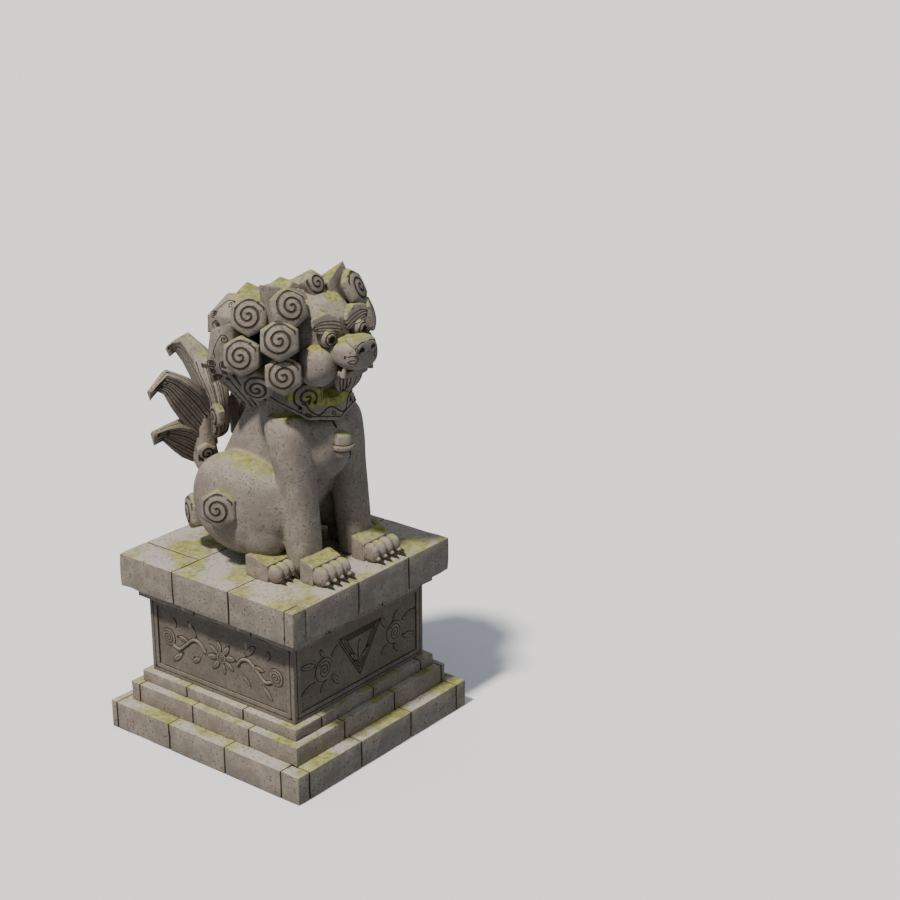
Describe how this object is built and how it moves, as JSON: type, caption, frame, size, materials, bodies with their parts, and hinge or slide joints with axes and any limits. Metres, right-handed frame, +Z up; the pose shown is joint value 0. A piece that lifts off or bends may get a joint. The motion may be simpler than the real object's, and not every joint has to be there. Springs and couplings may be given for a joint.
{
  "type": "komainu statue",
  "caption": "Seated stone guardian lion dog with a closed mouth, curled mane, collar bell and swept tail locks, on a stepped plinth with carved panels.",
  "frame": {"origin": "middle of the plinth's underside, on the ground", "axes": "+Z up, the figure faces -Y, its right side is towards -X"},
  "size_m": [1.03, 1.143, 1.9217],
  "materials": {
    "stone": "weathered, pitted, mossy on top",
    "carved_stone": "weathered, pitted, dark in the grooves, mossy on top"
  },
  "bodies": {
    "root": {"bottom_step_front_1": "stone", "bottom_step_front_2": "stone", "bottom_step_front_3": "stone", "bottom_step_front_4": "stone", "bottom_step_front_5": "stone", "bottom_step_row1": "stone", "bottom_step_row2": "stone", "bottom_step_row3": "stone", "bottom_step_back_1": "stone", "bottom_step_back_2": "stone", "bottom_step_back_3": "stone", "bottom_step_back_4": "stone", "middle_step_front_1": "stone", "middle_step_front_2": "stone", "middle_step_front_3": "stone", "middle_step_front_4": "stone", "middle_step_row1": "stone", "middle_step_row2": "stone", "middle_step_back_1": "stone", "middle_step_back_2": "stone", "middle_step_back_3": "stone", "middle_step_back_4": "stone", "upper_step_front_1": "stone", "upper_step_front_2": "stone", "upper_step_front_3": "stone", "upper_step_front_4": "stone", "upper_step_row1": "stone", "upper_step_back_1": "stone", "upper_step_back_2": "stone", "upper_step_back_3": "stone", "dado_block": "carved_stone", "neck_front_1": "stone", "neck_front_2": "stone", "neck_front_3": "stone", "neck_row1": "stone", "neck_back_1": "stone", "neck_back_2": "stone", "neck_back_3": "stone", "cap_front_1": "stone", "cap_front_2": "stone", "cap_front_3": "stone", "cap_row1": "stone", "cap_back_1": "stone", "cap_back_2": "stone", "cap_back_3": "stone", "cap_back_4": "stone", "cap_corner_stone": "stone", "lion_figure": "carved_stone"}
  },
  "joints": []
}
